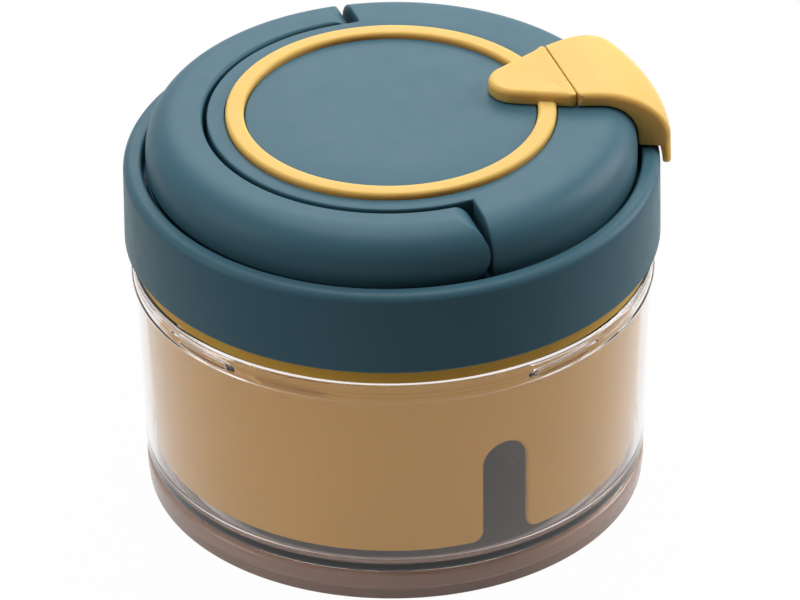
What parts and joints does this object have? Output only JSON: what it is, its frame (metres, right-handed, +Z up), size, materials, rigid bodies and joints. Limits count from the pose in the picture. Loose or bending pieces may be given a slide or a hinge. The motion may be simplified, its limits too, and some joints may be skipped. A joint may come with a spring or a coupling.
{
  "type": "pull cord food chopper",
  "caption": "Round hand food chopper: clear bowl, lift-out sleeve, bayonet lid with fold-flat carry handle, and pull tab that spins curved blades through a cord spool.",
  "frame": {"origin": "on the lid's axis, at the level of the foot ring's underside", "axes": "+Z up along the axis of the bowl and the lid; +X from the axis towards the pull tab; the carry handle lies on the -X side"},
  "size_m": [0.1283, 0.126, 0.1002],
  "materials": {
    "teal_plastic": "fine matt",
    "yellow_plastic": "satin",
    "sleeve_plastic": "satin",
    "clear_plastic": "clear and glossy",
    "smoke_elastomer": "translucent and smooth",
    "silicone": "matt",
    "white_plastic": "satin",
    "stainless_steel": "ground",
    "spring_steel": "blued"
  },
  "bodies": {
    "bowl": {"bowl": "clear_plastic", "foot_ring": "smoke_elastomer", "pivot_pin": "stainless_steel"},
    "seal": {"seal_ring": "silicone"},
    "lid": {"inner_sleeve": "sleeve_plastic", "collar": "teal_plastic", "top_cover": "teal_plastic", "accent_ring": "yellow_plastic", "tab_dock": "yellow_plastic", "base_plate": "white_plastic", "lid_screw_1": "stainless_steel", "lid_screw_2": "stainless_steel", "lid_screw_3": "stainless_steel", "lid_screw_4": "stainless_steel", "drive_bush": "white_plastic", "spindle": "stainless_steel", "handle_pin_front": "stainless_steel", "handle_pin_back": "stainless_steel", "cord_eyelet": "stainless_steel"},
    "handle": {"carry_handle": "teal_plastic"},
    "tab": {"pull_tab": "yellow_plastic"},
    "spool": {"cord_spool": "white_plastic", "spring_cap": "white_plastic", "recoil_spring": "spring_steel"},
    "driver": {"drive_socket": "white_plastic"},
    "blades": {"blade_hub": "white_plastic", "blade_1": "stainless_steel", "blade_2": "stainless_steel", "blade_3": "stainless_steel"}
  },
  "joints": [
    {"name": "lid_lift", "type": "slide", "parent": "bowl", "child": "seal", "axis": [0, 0, 1], "range_m": [0, 0.09]},
    {"name": "lid_twist", "type": "hinge", "parent": "seal", "child": "lid", "pos_m": [0, 0, 0.065], "axis": [0, 0, -1], "range_deg": [0, 24]},
    {"name": "handle_fold", "type": "hinge", "parent": "lid", "child": "handle", "pos_m": [-0.001, 0, 0.0905], "axis": [0, 1, 0], "range_deg": [0, 90]},
    {"name": "spool_spin", "type": "hinge", "parent": "seal", "child": "spool", "pos_m": [0, 0, 0.077], "axis": [0, 0, 1], "range_deg": [0, 730], "stiffness_Nm_per_rad": 0.008, "springref_deg": -572.96},
    {"name": "tab_pull", "type": "slide", "parent": "lid", "child": "tab", "axis": [0.866, 0, 0.5], "range_m": [0, 0.25]},
    {"name": "driver_spin", "type": "hinge", "parent": "seal", "child": "driver", "pos_m": [0, 0, 0.06], "axis": [0, 0, 1], "range_deg": [0, 731]},
    {"name": "blades_spin", "type": "hinge", "parent": "bowl", "child": "blades", "pos_m": [0, 0, 0.03], "axis": [0, 0, 1], "range_deg": [0, 731]}
  ],
  "couplings": [
    {"joint": "tab_pull", "follows": "spool_spin", "m_per_rad": 0.0196},
    {"joint": "driver_spin", "follows": "spool_spin", "ratio": 1},
    {"joint": "blades_spin", "follows": "spool_spin", "ratio": 1}
  ]
}
